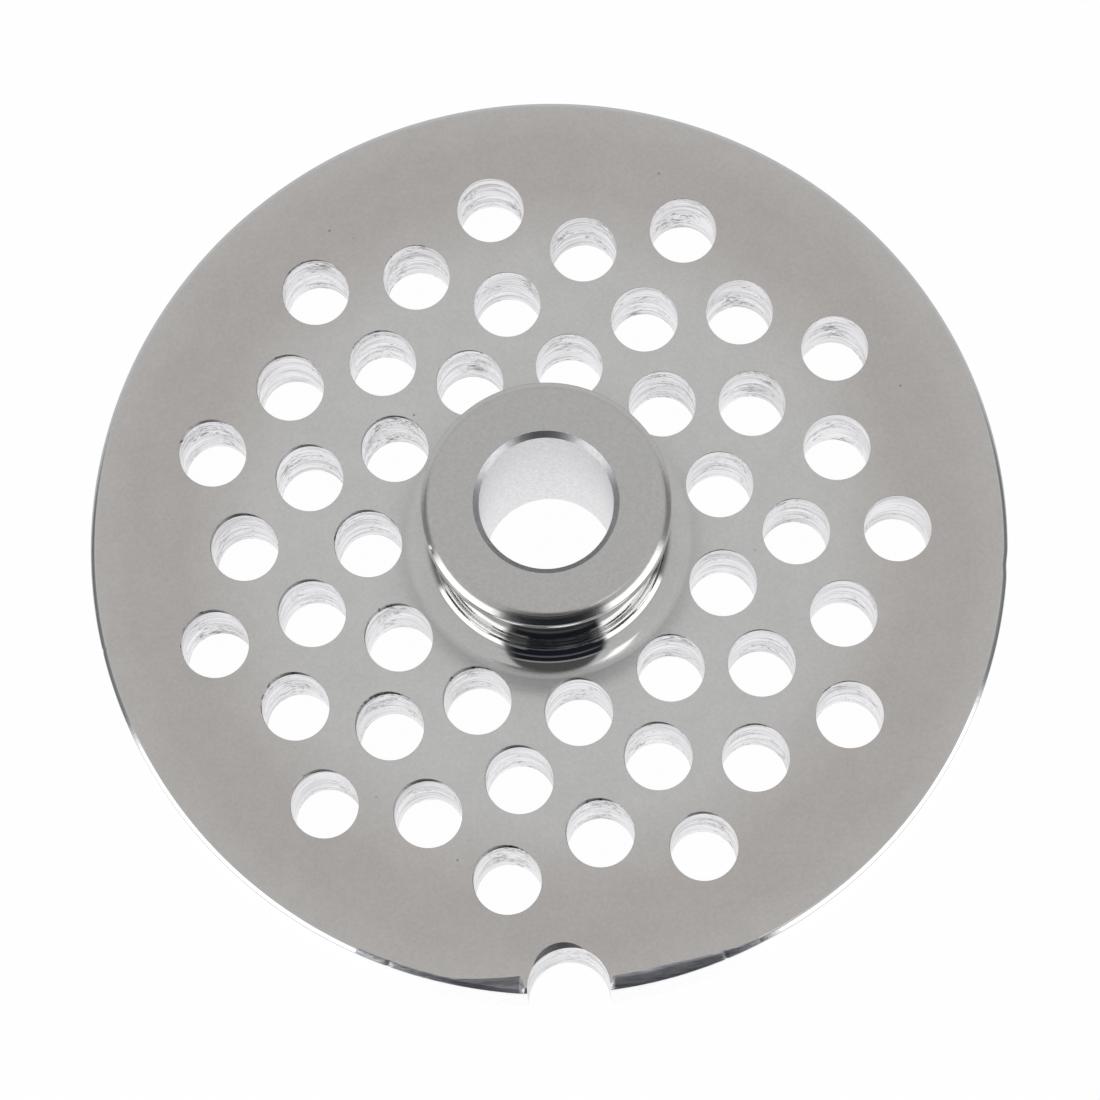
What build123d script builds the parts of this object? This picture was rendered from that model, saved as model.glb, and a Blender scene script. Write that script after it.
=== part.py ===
import os

from build123d import *

# Meat grinder plate, size 22, with hub: one piece of steel, turned, drilled and ground.
# The origin is on the bore's axis, in the flat cutting face that the knife sweeps.
# +Z points along the axis to the end of the hub, and the rim's notch is at -Y.

# disc
disc_diameter = 81.5
disc_thickness = 8.6
rim_chamfer = 0.4  # on the hub's side
rim_lead_in = 1.0  # wider chamfer on the cutting side

# hub
hub_length = 13.4  # from the disc's face to the hub's end
collar_diameter = 21.8
collar_thickness = 2.3
collar_chamfer = 0.6
collar_edge_radius = 0.25  # polishing rounds both corners of the chamfer
neck_diameter = 20.0
root_radius = 2.2  # blend from the neck into the disc's face

# bore, which runs on the stud at the end of the auger
bore_diameter = 11.7
bore_chamfer = 0.5

# drilled holes: four rings of eleven, each ring half a step round from the one inside it
hole_diameter = 6.0
holes_per_ring = 11
ring_radii = (16.0, 22.0, 27.0, 31.0)
first_hole_angle = 15.4  # from +X, on the innermost ring

# notch for the locating pin in the grinder's head
notch_radius = 3.65
notch_centre_radius = 40.3
notch_edge_break = 0.4

disc_radius = disc_diameter / 2
collar_radius = collar_diameter / 2
neck_radius = neck_diameter / 2
bore_radius = bore_diameter / 2
hub_end = disc_thickness + hub_length
collar_underside = hub_end - collar_thickness
hole_step = 360 / holes_per_ring

with BuildPart() as grinder_plate:
    # the turned blank, as a half section of disc, neck and collar with the bore open
    with BuildSketch(Plane.XZ) as turned_section:
        with BuildLine():
            Polyline(
                (bore_radius, 0),
                (disc_radius - rim_lead_in, 0),
                (disc_radius, rim_lead_in),
                (disc_radius, disc_thickness - rim_chamfer),
                (disc_radius - rim_chamfer, disc_thickness),
                (neck_radius, disc_thickness),
                (neck_radius, collar_underside),
                (collar_radius, collar_underside),
                (collar_radius, hub_end - collar_chamfer),
                (collar_radius - collar_chamfer, hub_end),
                (bore_radius + bore_chamfer, hub_end),
                (bore_radius, hub_end - bore_chamfer),
                close=True,
            )
        make_face()
        corner_radii = {
            (neck_radius, disc_thickness): root_radius,
            (collar_radius, hub_end - collar_chamfer): collar_edge_radius,
            (collar_radius - collar_chamfer, hub_end): collar_edge_radius,
        }
        for corner, radius in corner_radii.items():
            fillet(turned_section.vertices().sort_by_distance(corner)[0], radius)
    revolve(axis=Axis.Z)

    # the four rings of holes, sharp where they meet the cutting face
    for ring, ring_radius in enumerate(ring_radii):
        ring_start = first_hole_angle + (ring % 2) * hole_step / 2
        with PolarLocations(ring_radius, holes_per_ring, start_angle=ring_start):
            Hole(hole_diameter / 2)

    # the half-round notch, bored on a centre close to the rim, its edge broken on the hub's side
    with Locations((0, -notch_centre_radius, disc_thickness)):
        CounterSinkHole(
            radius=notch_radius,
            counter_sink_radius=notch_radius + notch_edge_break,
            counter_sink_angle=90,
        )

grinder_plate.part.label = "grinder_plate"
os.makedirs("parts", exist_ok=True)
export_step(grinder_plate.part, "parts/grinder_plate.step")
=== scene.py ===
import bpy
import math
import numpy as np
from mathutils import Matrix, Vector
from mathutils.geometry import delaunay_2d_cdt


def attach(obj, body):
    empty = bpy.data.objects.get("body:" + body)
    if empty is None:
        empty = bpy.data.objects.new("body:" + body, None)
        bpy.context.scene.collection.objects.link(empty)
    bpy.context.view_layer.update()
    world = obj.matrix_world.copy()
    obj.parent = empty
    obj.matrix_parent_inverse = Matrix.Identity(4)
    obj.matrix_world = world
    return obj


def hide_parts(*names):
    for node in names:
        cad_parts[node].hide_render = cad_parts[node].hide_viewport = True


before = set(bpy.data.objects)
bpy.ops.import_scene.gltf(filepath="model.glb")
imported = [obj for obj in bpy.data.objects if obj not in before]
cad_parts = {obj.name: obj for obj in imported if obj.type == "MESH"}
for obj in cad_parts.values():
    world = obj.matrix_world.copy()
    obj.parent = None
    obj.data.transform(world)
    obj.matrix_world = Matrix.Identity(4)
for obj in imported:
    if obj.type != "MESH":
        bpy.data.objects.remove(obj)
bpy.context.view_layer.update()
print("frame loaded:", sorted(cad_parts))

mm = 0.001  # the tables below are in millimetres, the scene in metres


def linearColour(hexColour):
    # sRGB hex to linear: below 0.04045 c / 12.92, above it ((c + 0.055) / 1.055) ^ 2.4
    srgb = np.array([int(hexColour[i:i + 2], 16) for i in (1, 3, 5)]) / 255
    linear = np.where(srgb <= 0.04045, srgb / 12.92, ((srgb + 0.055) / 1.055) ** 2.4)
    return (*linear.tolist(), 1.0)


def addNode(tree, kind, inputs=None, output=0, **settings):
    # a node with its settings; each input is a value or another node's output
    made = tree.nodes.new(kind)
    for name, value in settings.items():
        setattr(made, name, value)
    for name, value in (inputs or {}).items():
        if isinstance(value, bpy.types.NodeSocket):
            tree.links.new(value, made.inputs[name])
        else:
            made.inputs[name].default_value = value
    return made if output is None else made.outputs[output]


camera = {
    "place": (2.442, -113.344, 466.937),
    # where the view's right and its up point, and the way back from the plate to the lens
    "right": (0.998909, -0.043918, -0.015906),
    "up": (0.046441, 0.970266, 0.237545),
    "back": (0.005000, -0.238024, 0.971246),
    "lens": 174.0,
    "sensor": 36.0,
    "clipStart": 10.0,
    "clipEnd": 10000.0,
}

cameraData = bpy.data.cameras.new("camera")
cameraData.sensor_width = camera["sensor"]
cameraData.lens = camera["lens"]
cameraData.clip_start = camera["clipStart"] * mm
cameraData.clip_end = camera["clipEnd"] * mm
cameraObject = bpy.data.objects.new("camera", cameraData)
turn = Matrix([camera["right"], camera["up"], camera["back"]]).transposed().to_4x4()
cameraObject.matrix_world = Matrix.Translation(Vector(camera["place"]) * mm) @ turn
bpy.context.collection.objects.link(cameraObject)
bpy.context.scene.camera = cameraObject
print("camera placed")

# angles round the rim are in degrees from the notch, counterclockwise seen from the hub's side
disc = {
    "radius": 40.75,
    "thickness": 8.6,
    "leadIn": 1.0,  # chamfer on the cutting side
    "leadInRows": (0.0, 0.5, 1.0),  # from its foot to its top
    "wallRows": (6.2, 4.4, 2.8, 1.6),  # depths below the face
    "chamfer": 0.4,  # width of the chamfer on the hub's side
    "chamferDrop": 0.35,  # its fall
    "chamferSoftness": 0.22,  # how much of the chamfer its rounded edges take
    "chamferSteps": 5,
    "filedWidth": 0.97,  # where the chamfer was filed wider, beside the notch
    "filedDrop": 0.42,
    "filedFrom": 5.12,  # has to be past the notch's corner
    "filedFull": 5.75,
    "filedFades": 12.0,
    "filedTo": 24.5,
    "burrFrom": 345.5,  # the flat where a burr was filed off, on the notch's other side
    "burrTo": 353.9,
    "burrFade": 0.7,  # degrees past burrTo over which it ends
    "burrWidth": 1.0,
    "burrDrop": 0.33,
    "burrFoot": 0.1,  # how much lower the chamfer's outer edge is there
    "satinFrom": 333.0,  # from here round to filedTo the chamfer is satin, not polished
    # angle, width and depth of the knocks on the rim
    "nicks": ((19.9, 0.12, 0.07), (84.2, 0.8, 0.08), (281.6, 0.13, 0.06), (337.4, 0.2, 0.06)),
    "segments": 1440,
}
notch = {
    "radius": 3.65,
    "centre": 40.3,
    "wornWidth": 0.46,  # the worn stretch of its edge, where it is widest
    "wornSlope": 0.42,  # its fall, as a share of its width
    "wornMiddle": -16.0,  # degrees from the notch's innermost point
    "wornReach": 40.0,  # degrees from its middle to its ends
    "wornLeast": 0.02,  # share of its width that is left past them
    "rimFrom": 65.0,  # degrees over which the notch's edge runs into the rim's chamfer
    "rimFull": 90.0,
    "segments": 96,
}
holes = {
    "radius": 3.0,
    "rollMost": 0.27,  # how far in from the edge it is rolled over, in the holes polished most
    "rollLeast": 0.03,  # and in those polished least
    "rollMostAt": -30.0,  # x + y of those holes' centres
    "rollLeastAt": 34.0,
    "rollDrop": 0.4,  # its fall, as a share of its width
    "rollTowards": 119.0,  # degrees from +X to the side of the hole that is rolled most
    "widthBehind": 0.08,  # shares of the width and of the fall on the opposite side
    "dropBehind": 0.2,
    "rollCurve": 1.5,  # the power of the roll's curve
    "rollRows": (0.0, 0.4, 0.7, 1.0),  # shares of the width
    "wallRows": (0.0, 2.6, 5.2, 7.4),  # heights
    "rings": (16.0, 22.0, 27.0, 31.0),
    "perRing": 11,
    "firstAngle": 15.4,
    "segments": 80,
}
hub = {
    "length": 13.4,
    "collarRadius": 10.9,
    "collarThickness": 2.3,
    "collarEdge": 0.26,  # rounding between the collar's bevel and its wall
    "edgeSteps": 6,
    "collarFoot": ((0.12, 0.0), (0.035, 0.035), (0.0, 0.12)),  # its lower edge, inwards and up
    "undersideReach": 0.1,  # what is this near the collar's underside has its finish
    "brushedDown": 1.0,  # how far below the hub's end the brushing goes
    "bevelFrom": 9.6,  # the end face starts to roll down here and steepens into the bevel
    "bevelFull": 10.65,
    "bevelAngle": 45.0,
    "bevelSteps": 26,
    "knockAt": 199.8,  # a knock on the collar's bevel, degrees from +X
    "knockWidth": 0.16,
    "knockHeight": 0.3,
    "knockDepth": 0.1,
    "knockDown": 0.6,  # its middle, below the hub's end
    "knockReach": 1.5,  # and the lowest place that it touches
    "neckRadius": 10.0,
    "neckFrom": 4.2,  # the first row of the straight neck, above the face
    "neckRows": 4,
    "rootWidth": 2.72,  # the blend into the disc, a curve pulled down and in by two handles
    "rootHeight": 2.03,
    "rootPullDown": 0.6,
    "rootPullIn": 2.39,
    "rootEndSlope": 0.08,  # it meets the face at this slope, not quite flat
    "rootSteps": 31,
    "boreRadius": 5.85,
    "boreChamfer": 0.5,
    "boreFrom": 2.5,  # the bore's second row, below the hub's end
    "boreRows": 6,
    "endInset": 0.08,  # the first row of the flat end, inside the bevel's start
    "endRows": 6,
    "segments": 320,
}

faceHeight = disc["thickness"]
hubEnd = faceHeight + hub["length"]


def smoothStep(low, high, x):
    # 3 t^2 - 2 t^3, with t running from 0 at low to 1 at high
    t = np.clip((x - low) / (high - low), 0, 1)
    return t * t * (3 - 2 * t)


def softCorner(softness, steps):
    # a 45 degree chamfer from (0, 0) to (1, 1) as (inwards, upwards), each end a quadratic
    # curve: (1 - t)^2 start + 2 t (1 - t) corner + t^2 end
    t = np.linspace(0, 1, steps)[:, None]
    half = softness / math.sqrt(2)
    foot = (1 - t) ** 2 * np.array([0, -softness]) + t ** 2 * np.array([half, half])
    return np.concatenate([foot, 1 - foot[::-1, ::-1]])


def filedShare(degrees):
    # 1 where the chamfer was filed wide, let in and out by two smooth steps
    start = smoothStep(disc["filedFrom"], disc["filedFull"], degrees)
    return start * (1 - smoothStep(disc["filedFades"], disc["filedTo"], degrees))


def burrShare(degrees):
    # a straight ramp from 0 to 1 towards the notch, with a quick smooth step back to 0
    ramp = np.clip((degrees - disc["burrFrom"]) / (disc["burrTo"] - disc["burrFrom"]), 0, 1)
    return ramp * (1 - smoothStep(disc["burrTo"], disc["burrTo"] + disc["burrFade"], degrees))


def nickDepth(degrees):
    # the sum of bells, depth * exp(-(distance along the rim / width)^2)
    depth = np.zeros_like(degrees)
    for place, width, deepest in disc["nicks"]:
        along = np.radians(degrees - place) * disc["radius"]
        depth += deepest * np.exp(-((along / width) ** 2))
    return depth


def skinRow(inwards, drop, inChamfer, topRow=False):
    # one level of the outer wall, as a closed line: the rim at angle a is at
    # ((R - inwards) sin a, -(R - inwards) cos a), and the notch at angle b is at
    # (N sin b, N cos b - C). Both end where the two circles cross. inwards and drop are in mm,
    # or shares of the chamfer's width and fall where the row is in the chamfer
    plainRadius = disc["radius"] - inwards * (disc["chamfer"] if inChamfer else 1)
    bored, centre = notch["radius"], notch["centre"]
    start = math.acos((plainRadius ** 2 + centre ** 2 - bored ** 2) / (2 * plainRadius * centre))
    angle = np.linspace(start, 2 * math.pi - start, disc["segments"] + 1)
    end = math.atan2(plainRadius * math.sin(start), centre - plainRadius * math.cos(start))
    turnBack = np.linspace(-end, end, notch["segments"] + 1)[1:-1]
    radius = np.full_like(angle, disc["radius"] - inwards)
    level = np.full_like(angle, faceHeight - drop)
    bite = np.full_like(turnBack, bored)
    biteLevel = np.full_like(turnBack, faceHeight - drop)
    if inChamfer:
        degrees = np.degrees(angle)
        share = filedShare(degrees)
        width = disc["chamfer"] + (disc["filedWidth"] - disc["chamfer"]) * share
        fall = disc["chamferDrop"] + (disc["filedDrop"] - disc["chamferDrop"]) * share
        # the burr's flat takes the top row inwards and the rows under it down
        burr = burrShare(degrees)
        radius = disc["radius"] - width * inwards - nickDepth(degrees)
        level = faceHeight - (fall + disc["burrFoot"] * burr) * drop
        if topRow:
            radius -= burr * disc["burrWidth"]
        else:
            level -= burr * disc["burrDrop"] * (1 - drop)
        # the notch's worn edge is widest in its middle: 1 - (angle / reach)^2
        away = (np.degrees(turnBack) - notch["wornMiddle"]) / notch["wornReach"]
        worn = notch["wornWidth"] * np.clip(1 - away ** 2, notch["wornLeast"], 1)
        byRim = smoothStep(notch["rimFrom"], notch["rimFull"], np.degrees(np.abs(turnBack)))
        bite = bored + worn * (1 - drop) * (1 - byRim)
        biteFall = disc["chamferDrop"] * byRim + notch["wornSlope"] * worn * (1 - byRim)
        biteLevel = faceHeight - drop * biteFall
    rim = np.stack([radius * np.sin(angle), -radius * np.cos(angle), level], axis=1)
    back = np.stack([bite * np.sin(turnBack), bite * np.cos(turnBack) - centre, biteLevel], axis=1)
    return np.concatenate([rim, back])


def discSkin():
    # rows from the cutting face up: lead-in, wall, then the chamfer with its soft edges
    leadIn = disc["leadIn"]
    rows = [skinRow(leadIn * (1 - t), faceHeight - leadIn * t, False) for t in disc["leadInRows"]]
    rows += [skinRow(0, drop, False) for drop in disc["wallRows"]]
    corner = softCorner(disc["chamferSoftness"], disc["chamferSteps"])
    rows += [skinRow(inwards, 1 - up, True) for inwards, up in corner]
    rows[-1] = skinRow(corner[-1, 0], 1 - corner[-1, 1], True, topRow=True)
    return np.stack(rows)


def revolved(profile, segments):
    # (radius, height) carried round the axis: (r cos a, r sin a, h)
    angle = np.linspace(0, 2 * math.pi, segments, endpoint=False)
    radius, height = profile[:, 0, None], profile[:, 1, None]
    # the knock takes depth * exp(-(distance along / width)^2 - (distance up / width)^2)
    along = np.radians((np.degrees(angle) - hub["knockAt"] + 180) % 360 - 180) * hub["collarRadius"]
    up = height - (hubEnd - hub["knockDown"])
    bell = np.exp(-((along / hub["knockWidth"]) ** 2) - (up / hub["knockHeight"]) ** 2)
    bell = bell * (radius > hub["bevelFull"]) * (height > hubEnd - hub["knockReach"])
    radius = radius - hub["knockDepth"] * bell
    return np.stack([
        radius * np.cos(angle),
        radius * np.sin(angle),
        np.broadcast_to(height, radius.shape),
    ], axis=2)


def arc(centre, size, fromDegrees, toDegrees, steps):
    # centre + size (cos t, sin t)
    t = np.radians(np.linspace(fromDegrees, toDegrees, steps))
    return np.stack([centre[0] + size * np.cos(t), centre[1] + size * np.sin(t)], axis=1)


def hubProfile():
    # half section from the face up the outside, over the top and down the bore. The blend is
    # (1 - t)^3 a + 3 (1 - t)^2 t b + 3 (1 - t) t^2 c + t^3 d, up from the face
    neck, foot = hub["neckRadius"], hub["neckRadius"] + hub["rootWidth"]
    t = np.linspace(0, 1, hub["rootSteps"])[:, None]
    high, pull = faceHeight + hub["rootHeight"], hub["rootPullIn"]
    blend = (1 - t) ** 3 * np.array([foot, faceHeight])
    blend += 3 * (1 - t) ** 2 * t * np.array([foot - pull, faceHeight + pull * hub["rootEndSlope"]])
    blend += 3 * (1 - t) * t ** 2 * np.array([neck, high - hub["rootPullDown"]])
    blend += t ** 3 * np.array([neck, high])
    underside = hubEnd - hub["collarThickness"]
    collar, edge = hub["collarRadius"], hub["collarEdge"]
    # the bevel's slope is the full angle times a smooth step; its fall is the running sum of
    # tan(slope) * step
    lean = math.radians(hub["bevelAngle"])
    outer = collar - edge * (1 - math.sin(lean))
    radius = np.linspace(hub["bevelFrom"], outer, hub["bevelSteps"])
    middle = (radius[1:] + radius[:-1]) / 2
    slope = lean * smoothStep(hub["bevelFrom"], hub["bevelFull"], middle)
    fall = np.concatenate([[0], np.cumsum(np.tan(slope) * np.diff(radius))])
    bevel = np.stack([radius, hubEnd - fall], axis=1)[::-1]
    corner = (collar - edge, bevel[0, 1] - edge * math.cos(lean))
    lower = arc(corner, edge, 0, 90 - hub["bevelAngle"], hub["edgeSteps"])[:-1]
    bore, mouth = hub["boreRadius"], hub["boreRadius"] + hub["boreChamfer"]
    return np.concatenate([
        blend,
        np.linspace((neck, faceHeight + hub["neckFrom"]), (neck, underside), hub["neckRows"]),
        [(collar - inwards, underside + up) for inwards, up in hub["collarFoot"]],
        lower,
        bevel,
        np.linspace((hub["bevelFrom"] - hub["endInset"], hubEnd), (mouth, hubEnd), hub["endRows"]),
        [(bore, hubEnd - hub["boreChamfer"])],
        np.linspace((bore, hubEnd - hub["boreFrom"]), (bore, 0), hub["boreRows"]),
    ])


def holeCentres():
    # ring by ring, each half a step round from the one inside it
    step = 360 / holes["perRing"]
    rings, perRing = np.arange(len(holes["rings"])), np.arange(holes["perRing"])
    ring, index = np.meshgrid(rings, perRing, indexing="ij")
    angle = np.radians(holes["firstAngle"] + (index + (ring % 2) / 2) * step).ravel()
    radius = np.array(holes["rings"])[ring.ravel()]
    return np.stack([radius * np.cos(angle), radius * np.sin(angle)], axis=1)


def drilledHoles(centres):
    # every hole at once, as hole x level x angle: centre + (R + out) (cos a, sin a) at each level.
    # The wall is straight, and its top edge is rolled over by an amount that goes with the
    # cosine of the angle from one side
    angle = np.linspace(0, 2 * math.pi, holes["segments"], endpoint=False)
    circle = np.stack([np.cos(angle), np.sin(angle)], axis=1)
    share = smoothStep(holes["rollLeastAt"], holes["rollMostAt"], centres.sum(axis=1))[:, None]
    most = holes["rollLeast"] + (holes["rollMost"] - holes["rollLeast"]) * share
    facing = np.clip(np.cos(angle - math.radians(holes["rollTowards"])), 0, 1)
    width = most * (holes["widthBehind"] + (1 - holes["widthBehind"]) * facing ** 2)
    drop = most * holes["rollDrop"] * (holes["dropBehind"] + (1 - holes["dropBehind"]) * facing)
    none = np.zeros_like(width)
    rows = [(none, none + level) for level in holes["wallRows"]]
    rows += [
        (width * out, faceHeight - drop * (1 - out) ** holes["rollCurve"])
        for out in holes["rollRows"]
    ]
    placed = []
    for out, level in rows:
        flat = centres[:, None, :] + (holes["radius"] + out)[:, :, None] * circle
        placed.append(np.concatenate([flat, level[:, :, None]], axis=2))
    return np.stack(placed, axis=1)


def gridQuads(start, rows, columns):
    # closed rings of vertices joined level to level
    level, column = np.meshgrid(np.arange(rows - 1), np.arange(columns), indexing="ij")
    after = (column + 1) % columns
    low, high = start + level * columns, start + (level + 1) * columns
    return np.stack([low + column, low + after, high + after, high + column], axis=2).reshape(-1, 4)


mesher = {
    "insideOuterLine": 1,  # the triangulation keeps only what its outer line holds
    "samePoint": 1e-7,
    "sharpAngle": 24.0,  # degrees between two faces past which the edge between them is sharp
}


def flatFace(points, loops):
    # the plane inside the first line and outside the rest: a triangulation that respects
    # every line, less the triangles with all three corners on one inner line
    loopOf = np.repeat(np.arange(len(loops)), [len(loop) for loop in loops])
    used = np.concatenate(loops)
    after = np.concatenate([np.roll(np.arange(len(loop)), -1) for loop in loops])
    firsts = np.concatenate([[0], np.cumsum([len(loop) for loop in loops])[:-1]])
    lines = np.stack([np.arange(len(used)), after + firsts[loopOf]], axis=1)
    made = delaunay_2d_cdt(
        [Vector(point) for point in points[used, :2]], lines.tolist(), [],
        mesher["insideOuterLine"], mesher["samePoint"],
    )
    madeTriangles, madeFrom = made[2], made[3]
    source = np.array([same[0] for same in madeFrom])
    triangles = source[np.array(madeTriangles)]
    corners = loopOf[triangles]
    inHole = (corners[:, 0] > 0) & (corners == corners[:, :1]).all(axis=1)
    return used[triangles[~inHole]]


def buildPlate():
    skin = discSkin()
    shaft = revolved(hubProfile(), hub["segments"])
    drilled = drilledHoles(holeCentres())
    points = np.concatenate([skin.reshape(-1, 3), shaft.reshape(-1, 3), drilled.reshape(-1, 3)])
    around, turns, hole = skin.shape[1], shaft.shape[1], drilled.shape[2]
    shaftStart = skin.shape[0] * around
    drillStart = shaftStart + shaft.shape[0] * turns
    holeStarts = drillStart + drilled.shape[1] * hole * np.arange(len(drilled))
    oneHole = gridQuads(0, drilled.shape[1], hole)[:, ::-1]

    # the lines that bound the two flat faces: rim and notch, hub or bore, then the holes
    topLoops = [shaftStart - around + np.arange(around), shaftStart + np.arange(turns)]
    topLoops += [start + (drilled.shape[1] - 1) * hole + np.arange(hole) for start in holeStarts]
    bottomLoops = [np.arange(around), drillStart - turns + np.arange(turns)]
    bottomLoops += [start + np.arange(hole) for start in holeStarts]
    faces = [
        gridQuads(0, skin.shape[0], around),
        gridQuads(shaftStart, shaft.shape[0], turns),
        (holeStarts[:, None, None] + oneHole).reshape(-1, 4),
        flatFace(points, topLoops),
        flatFace(points, bottomLoops)[:, ::-1],
    ]
    return points, faces


def putInMesh(name, points, faces, materials, materialOf, flatOnes):
    # several arrays of faces, each with its own number of corners, its own finishes, and flat
    # or smooth
    corners = np.concatenate([part.ravel() for part in faces])
    sizes = np.concatenate([np.full(len(part), part.shape[1]) for part in faces])
    finish = np.concatenate([
        np.broadcast_to(slot, len(part)) for part, slot in zip(faces, materialOf)
    ])
    smooth = np.concatenate([np.full(len(part), not flat) for part, flat in zip(faces, flatOnes)])
    mesh = bpy.data.meshes.new(name)
    mesh.vertices.add(len(points))
    mesh.vertices.foreach_set("co", (points * mm).astype(np.float32).ravel())
    mesh.loops.add(len(corners))
    mesh.loops.foreach_set("vertex_index", corners.astype(np.int32))
    mesh.polygons.add(len(sizes))
    starts = np.concatenate([[0], np.cumsum(sizes)[:-1]])
    mesh.polygons.foreach_set("loop_start", starts.astype(np.int32))
    for material in materials:
        mesh.materials.append(material)
    mesh.polygons.foreach_set("material_index", finish.astype(np.int32))
    mesh.update(calc_edges=True)
    mesh.validate()
    mesh.set_sharp_from_angle(angle=math.radians(mesher["sharpAngle"]))
    mesh.polygons.foreach_set("use_smooth", smooth)  # after the line above, which clears it
    made = bpy.data.objects.new(name, mesh)
    bpy.context.collection.objects.link(made)
    return made


def newMaterial(name):
    material = bpy.data.materials.new(name)
    material.use_nodes = True
    material.node_tree.nodes.clear()
    return material, material.node_tree


def finishMetal(tree, colour, roughness, normal):
    shader = addNode(tree, "ShaderNodeBsdfPrincipled", {
        "Base Color": colour, "Metallic": 1.0, "Roughness": roughness, "Normal": normal,
    })
    addNode(tree, "ShaderNodeOutputMaterial", {"Surface": shader}, None)


ground = {
    # colour by distance from the axis in mm, which holds painted shade and painted reflection:
    # darker up the hub's blend, lighter over the face's middle, darker and faintly brown towards
    # the rim
    "tones": (
        (9.6, "#D2D2D1"), (12.2, "#D9D9D8"), (17.5, "#E0E0DF"), (25.5, "#DFDEDC"),
        (32.5, "#D0CBC7"), (37.0, "#D0CBC8"), (40.5, "#D6D3D0"),
    ),
    "wander": 3.0,  # mm the tones stray from a true circle
    "wanderSize": 9.0,
    # grain and smudges: their size, and how far apart their lightest and darkest are. Real grit
    # leaves 0.02 mm, too fine to show
    "shades": ((0.3, 0.09), (3.5, 0.05)),
    "shadeFrom": 0.3,  # the stretch of the noise between lightest and darkest
    "shadeTo": 0.7,
    "pit": "#77736F",
    "pitSize": 2.3,  # mm between the places where a pit may be
    "pitMiddle": 0.02,  # shares of that, from its darkest to its edge
    "pitEdge": 0.06,
    "pitShade": 0.8,
    "pitRare": 0.88,  # share of the places without a pit
    "pitSure": 0.93,
    "waveSize": 10.0,
    "waveDepth": 0.003,
    "roughness": 0.13,
    "roughnessByHub": 0.33,  # the buffing wheel could not reach into the corner
    "byHub": 2.4,  # mm from the blend's foot over which that turns into the plain roughness
}


def steelColour(tree, place, radius):
    # the tone for this distance from the axis, with painted shade by the hub and painted reflection
    # over the face, plus smudges, fine grain and a few pin pits
    wander = addNode(tree, "ShaderNodeTexNoise", {
        "Vector": place, "Scale": 1000 / ground["wanderSize"], "Detail": 3.0, "Roughness": 0.6,
    })
    strayed = addNode(tree, "ShaderNodeMath", {
        0: wander, 1: ground["wander"] * mm, 2: radius,
    }, operation="MULTIPLY_ADD")
    middle = ground["wander"] * mm / 2  # the noise averages a half
    share = addNode(tree, "ShaderNodeMapRange", {
        "Value": strayed, "From Min": middle, "From Max": disc["radius"] * mm + middle,
    })
    # the ramp's stops paint shade up the hub and reflection across the face
    ramp = addNode(tree, "ShaderNodeValToRGB", {"Fac": share}, None)
    for number, (distance, colour) in enumerate(ground["tones"]):
        stops = ramp.color_ramp.elements
        stop = stops[number] if number < 2 else stops.new(1.0)
        stop.position = distance / disc["radius"]
        stop.color = linearColour(colour)
    shown = ramp.outputs["Color"]
    for size, amount in ground["shades"]:
        noise = addNode(tree, "ShaderNodeTexNoise", {
            "Vector": place, "Scale": 1000 / size, "Detail": 3.0, "Roughness": 0.65,
        })
        factor = addNode(tree, "ShaderNodeMapRange", {
            "Value": noise, "From Min": ground["shadeFrom"], "From Max": ground["shadeTo"],
            "To Min": 1 - amount / 2, "To Max": 1 + amount / 2,
        })
        shown = addNode(tree, "ShaderNodeVectorMath", {
            0: shown, "Scale": factor,
        }, operation="SCALE")
    cells = addNode(tree, "ShaderNodeTexVoronoi", {
        "Vector": place, "Scale": 1000 / ground["pitSize"],
    }, None).outputs
    close = addNode(tree, "ShaderNodeMapRange", {
        "Value": cells["Distance"], "From Min": ground["pitMiddle"], "From Max": ground["pitEdge"],
        "To Min": ground["pitShade"], "To Max": 0.0,
    })
    rare = addNode(tree, "ShaderNodeMapRange", {
        "Value": addNode(tree, "ShaderNodeSeparateXYZ", {"Vector": cells["Color"]}),
        "From Min": ground["pitRare"], "From Max": ground["pitSure"],
    })
    pit = addNode(tree, "ShaderNodeMath", {0: close, 1: rare}, operation="MULTIPLY")
    return addNode(tree, "ShaderNodeMix", {
        0: pit, 6: shown, 7: linearColour(ground["pit"]),
    }, 2, data_type="RGBA")


def placeOnPart(tree):
    # where on the part, and how far from its axis
    place = addNode(tree, "ShaderNodeTexCoord", output="Object")
    across = addNode(tree, "ShaderNodeVectorMath", {0: place, 1: (1, 1, 0)}, operation="MULTIPLY")
    return place, addNode(tree, "ShaderNodeVectorMath", {0: across}, "Value", operation="LENGTH")


def groundSteel():
    # 420 stainless, surface ground and lightly polished: a soft mirror with a fine even grain
    material, tree = newMaterial("groundSteel")
    place, radius = placeOnPart(tree)
    wave = addNode(tree, "ShaderNodeTexNoise", {
        "Vector": place, "Scale": 1000 / ground["waveSize"], "Detail": 1.0,
    })
    foot = (hub["neckRadius"] + hub["rootWidth"]) * mm
    roughness = addNode(tree, "ShaderNodeMapRange", {
        "Value": radius, "From Min": foot, "From Max": foot + ground["byHub"] * mm,
        "To Min": ground["roughnessByHub"], "To Max": ground["roughness"],
    }, interpolation_type="SMOOTHSTEP")
    normal = addNode(tree, "ShaderNodeBump", {
        "Height": wave, "Distance": ground["waveDepth"] * mm,
    })
    finishMetal(tree, steelColour(tree, place, radius), roughness, normal)
    return material


turned = {
    "lineStep": 0.3,  # mm between tool lines, really about 0.1
    "lineDepth": 0.0001,
    "roughness": 0.07,
    "roughFoot": 0.9,  # mm over which the blend goes from this to the face's own finish
}


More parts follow.
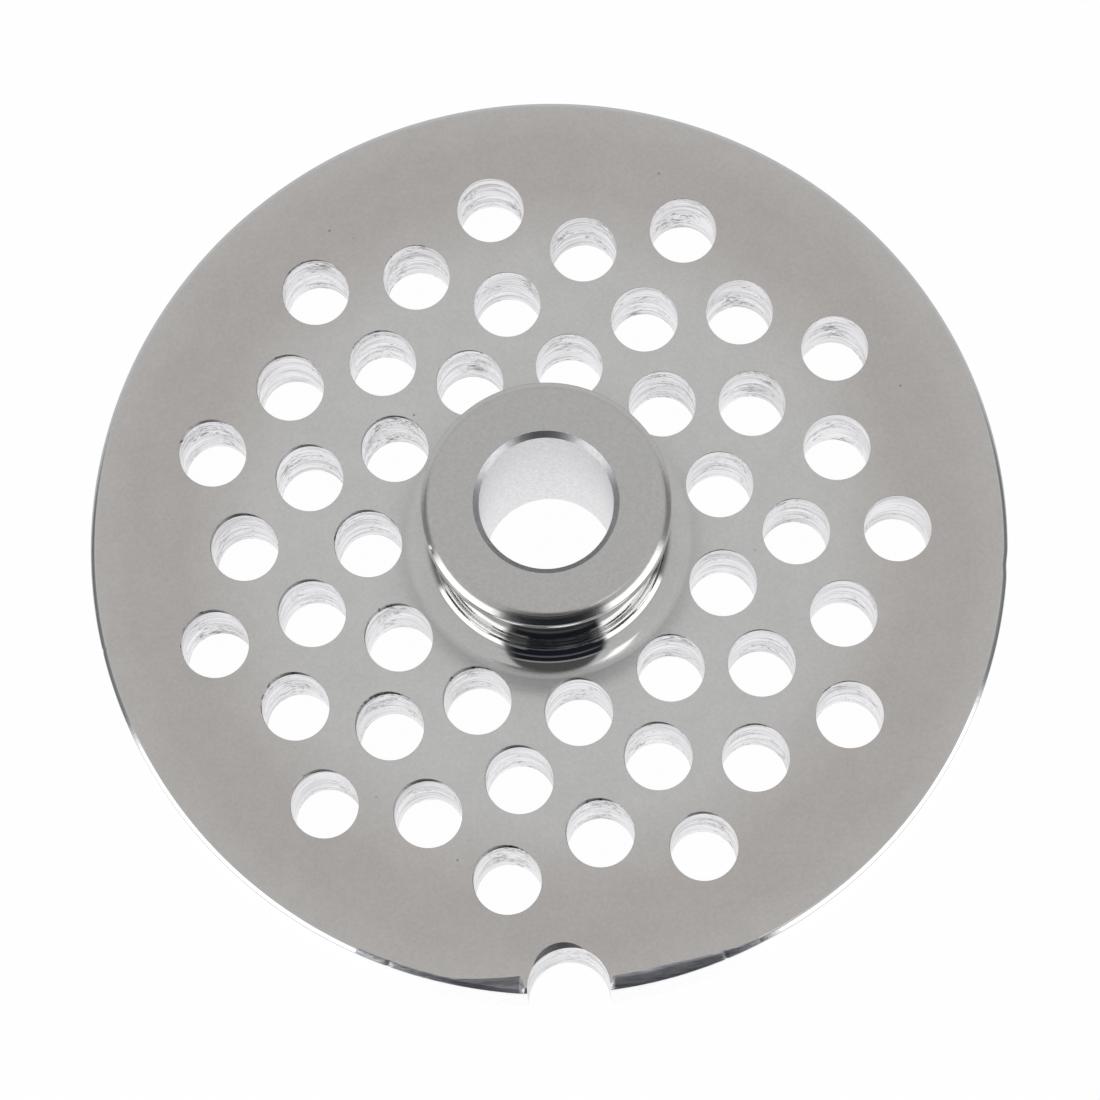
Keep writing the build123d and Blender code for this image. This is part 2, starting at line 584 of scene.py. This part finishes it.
def turnedSteel():
    # the same steel turned on a lathe and buffed: nearly a mirror, with lines round the axis
    material, tree = newMaterial("turnedSteel")
    place, radius = placeOnPart(tree)
    height = addNode(tree, "ShaderNodeSeparateXYZ", {"Vector": place}, "Z")
    along = addNode(tree, "ShaderNodeCombineXYZ", {"X": radius, "Y": height})
    lines = addNode(tree, "ShaderNodeTexNoise", {
        "Vector": along, "Scale": 1000 / turned["lineStep"], "Detail": 2.0,
    })
    fromFoot = addNode(tree, "ShaderNodeVectorMath", {
        0: along, 1: ((hub["neckRadius"] + hub["rootWidth"]) * mm, faceHeight * mm, 0),
    }, "Value", operation="DISTANCE")
    roughness = addNode(tree, "ShaderNodeMapRange", {
        "Value": fromFoot, "From Min": 0.0, "From Max": turned["roughFoot"] * mm,
        "To Min": ground["roughnessByHub"], "To Max": turned["roughness"],
    }, interpolation_type="SMOOTHSTEP")
    normal = addNode(tree, "ShaderNodeBump", {
        "Height": lines, "Distance": turned["lineDepth"] * mm,
    })
    finishMetal(tree, steelColour(tree, place, radius), roughness, normal)
    return material


filed = {
    "steel": "#D8D9DE",
    "stroke": "#A0A1A8",
    "strokeWidth": 0.12,  # mm, about what a fine file's teeth leave
    "strokeLength": 2.5,
    "strokeFrom": 0.35,  # the stretch of the noise between steel and stroke
    "strokeTo": 0.65,
    "strokeDepth": 0.004,
    "roughness": 0.3,
}


def filedSteel():
    # the rim's edge beside the notch, dressed with a fine file: satin, streaked along the rim
    material, tree = newMaterial("filedSteel")
    place = addNode(tree, "ShaderNodeTexCoord", output="Object")
    long, thin = 1000 / filed["strokeLength"], 1000 / filed["strokeWidth"]
    stretched = addNode(tree, "ShaderNodeMapping", {
        "Vector": place, "Scale": (long, thin / 2, thin),
    })
    strokes = addNode(tree, "ShaderNodeTexNoise", {
        "Vector": stretched, "Scale": 1.0, "Detail": 3.0, "Roughness": 0.6,
    })
    amount = addNode(tree, "ShaderNodeMapRange", {
        "Value": strokes, "From Min": filed["strokeFrom"], "From Max": filed["strokeTo"],
    })
    colour = addNode(tree, "ShaderNodeMix", {
        0: amount, 6: linearColour(filed["steel"]), 7: linearColour(filed["stroke"]),
    }, 2, data_type="RGBA")
    normal = addNode(tree, "ShaderNodeBump", {
        "Height": strokes, "Distance": filed["strokeDepth"] * mm,
    })
    finishMetal(tree, colour, filed["roughness"], normal)
    return material


drill = {
    "steel": "#DDDBDE",
    "line": "#8D8B8D",
    "torn": "#4F4C4D",
    "lineStep": 0.3,  # mm between the drill's rings, really about 0.15
    "bandStep": 1.1,  # and between its wider bands
    "lineLength": 6.0,
    "lineDepth": 0.008,
    "ringShare": 0.85,  # how much the rings and the bands count, and what is taken off
    "bandShare": 0.3,
    "lineOffset": -0.33,
    "lineFrom": 0.18,  # the stretch of their sum between steel and line
    "lineTo": 0.42,
    "tornSize": 0.28,
    "patchSize": 3.2,  # the torn specks come in patches
    "patchShare": 0.5,
    "tornFrom": 0.83,  # the stretch of their sum between whole and torn
    "tornTo": 0.94,
    "roughness": 0.3,
}


def drilledSteel():
    # bare drilled walls: bright and rough, with rings left by the drill's lips and dark
    # specks where the steel tore
    material, tree = newMaterial("drilledSteel")
    place = addNode(tree, "ShaderNodeTexCoord", output="Object")
    long = 1000 / drill["lineLength"]
    short = 1000 / drill["tornSize"]
    # the stretch, detail and roughness of each noise
    patterns = (
        ((long, long, 1000 / drill["lineStep"]), 4.0, 0.75),
        ((long, long, 1000 / drill["bandStep"]), 1.0, 0.5),
        ((short / 2, short / 2, short), 3.0, 0.7),
    )
    made = []
    for stretch, detail, roughness in patterns:
        made.append(addNode(tree, "ShaderNodeTexNoise", {
            "Vector": addNode(tree, "ShaderNodeMapping", {"Vector": place, "Scale": stretch}),
            "Scale": 1.0, "Detail": detail, "Roughness": roughness,
        }))
    rings, bands, torn = made
    patches = addNode(tree, "ShaderNodeTexNoise", {
        "Vector": place, "Scale": 1000 / drill["patchSize"], "Detail": 1.0,
    })
    both = addNode(tree, "ShaderNodeMath", {
        0: rings, 1: drill["ringShare"], 2: drill["lineOffset"],
    }, operation="MULTIPLY_ADD")
    both = addNode(tree, "ShaderNodeMath", {
        0: bands, 1: drill["bandShare"], 2: both,
    }, operation="MULTIPLY_ADD")
    lined = addNode(tree, "ShaderNodeMapRange", {
        "Value": both, "From Min": drill["lineFrom"], "From Max": drill["lineTo"],
    })
    ringed = addNode(tree, "ShaderNodeMix", {
        0: lined, 6: linearColour(drill["steel"]), 7: linearColour(drill["line"]),
    }, 2, data_type="RGBA")
    speck = addNode(tree, "ShaderNodeMath", {
        0: patches, 1: drill["patchShare"], 2: torn,
    }, operation="MULTIPLY_ADD")
    broken = addNode(tree, "ShaderNodeMapRange", {
        "Value": speck, "From Min": drill["tornFrom"], "From Max": drill["tornTo"],
    })
    colour = addNode(tree, "ShaderNodeMix", {
        0: broken, 6: ringed, 7: linearColour(drill["torn"]),
    }, 2, data_type="RGBA")
    normal = addNode(tree, "ShaderNodeBump", {
        "Height": rings, "Distance": drill["lineDepth"] * mm,
    })
    finishMetal(tree, colour, drill["roughness"], normal)
    return material


# other finishes of the same steel. Their grain is some tenths of a millimetre across, because
# the real one, under 0.05 mm, is too fine to show
# the bore, reamed and run in on the stud, and the collar's underside: pale and blurred
reamed = {"steel": "#DEDEDF", "grain": "#C9C9CC", "grainSize": 0.3, "roughness": 0.38}
# the hub's end, brushed: an even grey
brushed = {"steel": "#D5D4D2", "grain": "#CBCAC8", "grainSize": 0.3, "roughness": 0.2}
# the rim, polished: clean bright and dark lines
polished = {"steel": "#DCDCDD", "grain": "#D4D4D6", "grainSize": 0.5, "roughness": 0.1}
# the notch's edge, worn by the pin: dull and darker
worn = {"steel": "#8E8E91", "grain": "#7C7C7F", "grainSize": 0.35, "roughness": 0.45}
satin = {
    "grainFrom": 0.35,  # the stretch of the noise between steel and grain
    "grainTo": 0.65,
    "grainDepth": 0.003,
}


def satinSteel(name, look):
    # an even satin, which blurs what it mirrors, with a faint fine grain
    material, tree = newMaterial(name)
    place = addNode(tree, "ShaderNodeTexCoord", output="Object")
    size = 1000 / look["grainSize"]
    stretched = addNode(tree, "ShaderNodeMapping", {
        "Vector": place, "Scale": (size, size, size / 2),
    })
    grain = addNode(tree, "ShaderNodeTexNoise", {
        "Vector": stretched, "Scale": 1.0, "Detail": 4.0, "Roughness": 0.7,
    })
    amount = addNode(tree, "ShaderNodeMapRange", {
        "Value": grain, "From Min": satin["grainFrom"], "From Max": satin["grainTo"],
    })
    colour = addNode(tree, "ShaderNodeMix", {
        0: amount, 6: linearColour(look["steel"]), 7: linearColour(look["grain"]),
    }, 2, data_type="RGBA")
    normal = addNode(tree, "ShaderNodeBump", {
        "Height": grain, "Distance": satin["grainDepth"] * mm,
    })
    finishMetal(tree, colour, look["roughness"], normal)
    return material


points, faces = buildPlate()
print("plate worked out:", len(points), "points,", sum(len(part) for part in faces), "faces")

# the finishes, in the order of the materials below
onGround, onTurned, onDrilled, onFiled, onReamed, onBrushed, onPolished, onWorn = range(8)
skinFaces, hubFaces = faces[:2]
around = disc["segments"] + notch["segments"]
column = np.arange(len(skinFaces)) % around
# the chamfer's first row of faces is the soft start of it, and is finished as the wall is
lowestOfChamfer = len(disc["leadInRows"]) + len(disc["wallRows"])
inChamfer = np.arange(len(skinFaces)) // around > lowestOfChamfer
corner = points[skinFaces[:, 0]]
degrees = np.degrees(np.arctan2(corner[:, 0], -corner[:, 1])) % 360
byFile = inChamfer & ((degrees < disc["filedTo"]) | (degrees > disc["satinFrom"]))
rimFinish = np.where(byFile, onFiled, onPolished)
notchFinish = np.where(inChamfer, onWorn, onDrilled)
skinFinish = np.where(column < disc["segments"], rimFinish, notchFinish)

profile = hubProfile()
radius, height = (profile[1:] + profile[:-1]).T / 2
inBore = radius < hub["boreRadius"] + hub["boreChamfer"]
insideWall = radius < hub["collarRadius"] - hub["collarEdge"] / 3
onEnd = (height > hubEnd - hub["brushedDown"]) & insideWall
underCollar = np.abs(height - (hubEnd - hub["collarThickness"])) < hub["undersideReach"]
rowFinish = np.where(inBore | underCollar, onReamed, np.where(onEnd, onBrushed, onTurned))
hubFinish = rowFinish[np.arange(len(hubFaces)) // hub["segments"]]
plate = putInMesh(
    "plate", points, faces,
    [
        groundSteel(), turnedSteel(), drilledSteel(), filedSteel(),
        satinSteel("reamedSteel", reamed), satinSteel("brushedSteel", brushed),
        satinSteel("polishedSteel", polished), satinSteel("wornSteel", worn),
    ],
    [skinFinish, hubFinish, onDrilled, onGround, onGround],
    [False, False, False, True, True],
)
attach(plate, "root")
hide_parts("grinder_plate")
print("plate built and finished")

studio = {
    "tableRadius": 450.0,
    "tableSides": 64,
    "tableDrop": 0.02,  # below the plate, so that the two don't share a plane
    "paper": "#F4F4F4",
    "glow": 0.985,  # how much of the table is lit from below
    "tableNear": 1.2,  # the table as the steel mirrors it, under the plate and away from it
    "tableAway": 0.68,
    "nearTo": 43.0,  # distances from the axis between which the one turns into the other
    "awayFrom": 49.0,
    "horizon": 0.15,  # the room's light, from eye level up to the ceiling
    "ceiling": 0.62,
    "horizonAt": -6.0,  # the elevations of the two
    "ceilingAt": 34.0,
    # what stands in the room: azimuth from the front and elevation in degrees, half its width
    # and height, how soft its edge is, its brightness and tint
    "cards": (
        (-150.0, 8.0, 34.0, 16.0, 0.25, 0.6, "#FFFFFF"),  # a pale wall behind, on the left
        (150.0, 8.0, 34.0, 16.0, 0.25, 0.6, "#FFFFFF"),  # and on the right
        (-55.5, 9.0, 23.5, 12.5, 0.15, 1.9, "#FFFFFF"),  # softbox on the left
        (55.5, 9.0, 23.5, 12.5, 0.15, 1.9, "#FFFFFF"),  # softbox on the right
        (0.0, 49.0, 30.0, 40.0, 0.08, 0.09, "#FFFFFF"),  # the camera and whoever holds it
        (3.0, 32.0, 29.0, 23.0, 0.1, 0.035, "#9DACCB"),  # a dark coat
        (4.0, 3.0, 21.0, 9.0, 0.1, 0.035, "#9DACCB"),  # and its lower part
        (0.0, 57.5, 29.0, 1.8, 0.4, 0.4, "#FFFFFF"),  # the pale edge of a sleeve
        (0.0, 36.5, 29.0, 3.5, 0.4, 0.12, "#FFFFFF"),  # a dimmer one lower down
        (-36.0, 82.5, 16.0, 5.5, 0.3, 0.16, "#FFFFFF"),  # a hand, nearly overhead
        (-95.0, 90.0, 85.0, 3.5, 0.3, 0.12, "#FFFFFF"),  # the arm that holds the camera
        (53.0, 74.0, 9.0, 6.0, 0.5, 1.6, "#FFFFFF"),  # a reflector over the plate's right
    ),
}


def buildTable():
    # a round table lit from below, so it is white and keeps a faint shadow: its edge at angle a
    # is at R (cos a, sin a), a little under the plate
    sides, size = studio["tableSides"], studio["tableRadius"] * mm
    angle = np.linspace(0, 2 * math.pi, sides, endpoint=False)
    level = np.full(sides, -studio["tableDrop"] * mm)
    ring = np.stack([np.cos(angle) * size, np.sin(angle) * size, level], axis=1)
    mesh = bpy.data.meshes.new("table")
    mesh.from_pydata(ring.tolist(), [], [list(range(sides))])
    made = bpy.data.objects.new("table", mesh)
    bpy.context.collection.objects.link(made)
    material, tree = newMaterial("litTable")
    paths = addNode(tree, "ShaderNodeLightPath", output=None).outputs
    seen = addNode(tree, "ShaderNodeMath", {
        0: paths["Is Camera Ray"], 1: paths["Is Glossy Ray"],
    }, operation="MAXIMUM")
    seen = addNode(tree, "ShaderNodeMath", {
        0: paths["Is Transmission Ray"], 1: seen,
    }, operation="MAXIMUM")
    amount = addNode(tree, "ShaderNodeMath", {0: seen, 1: studio["glow"]}, operation="MULTIPLY")
    place = addNode(tree, "ShaderNodeTexCoord", output="Object")
    mirrored = addNode(tree, "ShaderNodeMapRange", {
        "Value": addNode(tree, "ShaderNodeVectorMath", {0: place}, "Value", operation="LENGTH"),
        "From Min": studio["nearTo"] * mm, "From Max": studio["awayFrom"] * mm,
        "To Min": studio["tableNear"], "To Max": studio["tableAway"],
    }, interpolation_type="SMOOTHSTEP")
    strength = addNode(tree, "ShaderNodeMix", {
        0: paths["Is Glossy Ray"], 2: 1.0, 3: mirrored,
    }, data_type="FLOAT")
    mixed = addNode(tree, "ShaderNodeMixShader", {
        0: amount,
        1: addNode(tree, "ShaderNodeBsdfDiffuse", {"Color": linearColour(studio["paper"])}),
        2: addNode(tree, "ShaderNodeEmission", {"Strength": strength}),
    })
    addNode(tree, "ShaderNodeOutputMaterial", {"Surface": mixed}, None)
    made.data.materials.append(material)


def buildRoom():
    # what the steel mirrors, by direction: a grey room that is lighter above, with the cards.
    # Seen straight from the camera it is plain white
    world = bpy.data.worlds.new("room")
    bpy.context.scene.world = world
    world.use_nodes = True
    tree = world.node_tree
    tree.nodes.clear()
    direction = addNode(tree, "ShaderNodeTexCoord", output="Generated")
    parts = addNode(tree, "ShaderNodeSeparateXYZ", {"Vector": direction}, None).outputs
    ahead = addNode(tree, "ShaderNodeMath", {0: parts["Y"], 1: -1.0}, operation="MULTIPLY")
    azimuth = addNode(tree, "ShaderNodeMath", {0: parts["X"], 1: ahead}, operation="ARCTAN2")
    elevation = addNode(tree, "ShaderNodeMath", {0: parts["Z"]}, operation="ARCSINE")
    bearing = addNode(tree, "ShaderNodeCombineXYZ", {"X": azimuth, "Y": elevation})
    room = addNode(tree, "ShaderNodeMapRange", {
        "Value": elevation,
        "From Min": math.radians(studio["horizonAt"]),
        "From Max": math.radians(studio["ceilingAt"]),
        "To Min": studio["horizon"], "To Max": studio["ceiling"],
    }, interpolation_type="SMOOTHSTEP")
    for across, up, halfAcross, halfUp, soft, light, tint in studio["cards"]:
        # 1 inside the card, by the larger of the two distances from its middle
        away = addNode(tree, "ShaderNodeMapping", {
            "Vector": bearing,
            "Location": (-across / halfAcross, -up / halfUp, 0),
            "Scale": (math.degrees(1) / halfAcross, math.degrees(1) / halfUp, 0),
        })
        away = addNode(tree, "ShaderNodeVectorMath", {0: away}, operation="ABSOLUTE")
        away = addNode(tree, "ShaderNodeSeparateXYZ", {"Vector": away}, None).outputs
        larger = addNode(tree, "ShaderNodeMath", {0: away["X"], 1: away["Y"]}, operation="MAXIMUM")
        inside = addNode(tree, "ShaderNodeMapRange", {
            "Value": larger, "From Min": 1 - soft, "From Max": 1 + soft,
            "To Min": 1.0, "To Max": 0.0,
        }, interpolation_type="SMOOTHSTEP")
        shown = [light * part for part in linearColour(tint)[:3]]
        room = addNode(tree, "ShaderNodeMix", {
            0: inside, 6: room, 7: (*shown, 1.0),
        }, 2, data_type="RGBA")
    paths = addNode(tree, "ShaderNodeLightPath", output=None).outputs
    seen = addNode(tree, "ShaderNodeMath", {
        0: paths["Is Camera Ray"], 1: paths["Is Transmission Ray"],
    }, operation="MAXIMUM")
    colour = addNode(tree, "ShaderNodeMix", {
        0: seen, 6: room, 7: (1, 1, 1, 1),
    }, 2, data_type="RGBA")
    background = addNode(tree, "ShaderNodeBackground", {"Color": colour})
    addNode(tree, "ShaderNodeOutputWorld", {"Surface": background}, None)


buildTable()
buildRoom()
bpy.context.scene.view_settings.view_transform = "Standard"
print("studio lit")
